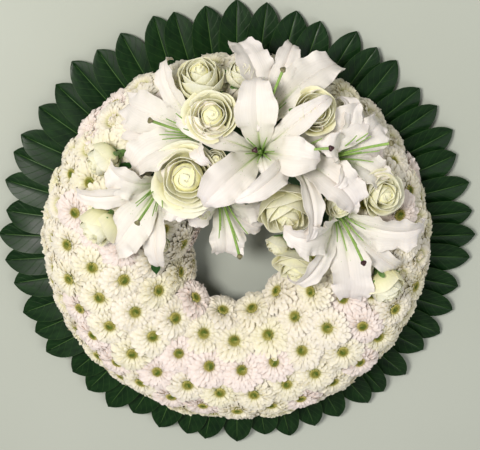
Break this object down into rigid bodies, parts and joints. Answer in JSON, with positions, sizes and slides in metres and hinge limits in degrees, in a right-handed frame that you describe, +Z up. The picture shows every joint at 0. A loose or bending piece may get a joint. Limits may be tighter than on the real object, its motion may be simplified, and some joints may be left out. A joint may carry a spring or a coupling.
{
  "type": "funeral wreath",
  "caption": "Round funeral wreath that lies flat: a foam ring in a tray, covered in white chrysanthemums, with a spray of lilies and roses and a collar of broad green leaves.",
  "frame": {"origin": "centre of the leaf collar's box, on the surface that the tray stands on", "axes": "+Z up, out of the flowers' side; +Y from the centre of the hole towards the middle of the lily and rose spray; +X to the right of it, seen from above"},
  "size_m": [0.612, 0.612, 0.2047],
  "materials": {
    "tray": "moulded, slightly rough",
    "foam": "wet open-cell floral foam",
    "leaf": "glossy evergreen leaf",
    "chrysanthemum": "soft white petals",
    "lily": "smooth white petals",
    "rose": "smooth cream petals",
    "rose_leaf": "matt green leaf"
  },
  "bodies": {
    "root": {"ring_tray": "tray", "foam_ring": "foam", "leaf_collar_01": "leaf", "leaf_collar_02": "leaf", "leaf_collar_03": "leaf", "leaf_collar_04": "leaf", "leaf_collar_05": "leaf", "leaf_collar_06": "leaf", "leaf_collar_07": "leaf", "leaf_collar_08": "leaf", "leaf_collar_09": "leaf", "leaf_collar_10": "leaf", "leaf_collar_11": "leaf", "leaf_collar_12": "leaf", "leaf_collar_13": "leaf", "chrysanthemum_cluster_01": "chrysanthemum", "chrysanthemum_cluster_02": "chrysanthemum", "chrysanthemum_cluster_03": "chrysanthemum", "chrysanthemum_cluster_04": "chrysanthemum", "chrysanthemum_cluster_05": "chrysanthemum", "chrysanthemum_cluster_06": "chrysanthemum", "chrysanthemum_cluster_07": "chrysanthemum", "chrysanthemum_cluster_08": "chrysanthemum", "chrysanthemum_cluster_09": "chrysanthemum", "chrysanthemum_cluster_10": "chrysanthemum", "chrysanthemum_cluster_11": "chrysanthemum", "chrysanthemum_cluster_12": "chrysanthemum", "chrysanthemum_cluster_13": "chrysanthemum", "chrysanthemum_cluster_14": "chrysanthemum", "chrysanthemum_cluster_15": "chrysanthemum", "chrysanthemum_cluster_16": "chrysanthemum", "chrysanthemum_cluster_17": "chrysanthemum", "chrysanthemum_cluster_18": "chrysanthemum", "lily_01": "lily", "lily_02": "lily", "lily_03": "lily", "lily_04": "lily", "lily_05": "lily", "lily_06": "lily", "lily_07": "lily", "rose_01": "rose", "rose_02": "rose", "rose_03": "rose", "rose_04": "rose", "rose_05": "rose", "rose_06": "rose", "rose_07": "rose", "rose_08": "rose", "rose_09": "rose", "rose_10": "rose", "rose_11": "rose", "rose_12": "rose", "rose_13": "rose", "rose_14": "rose", "rose_15": "rose", "rose_16": "rose", "rose_17": "rose", "rose_leaf_01": "rose_leaf", "rose_leaf_02": "rose_leaf"}
  },
  "joints": []
}
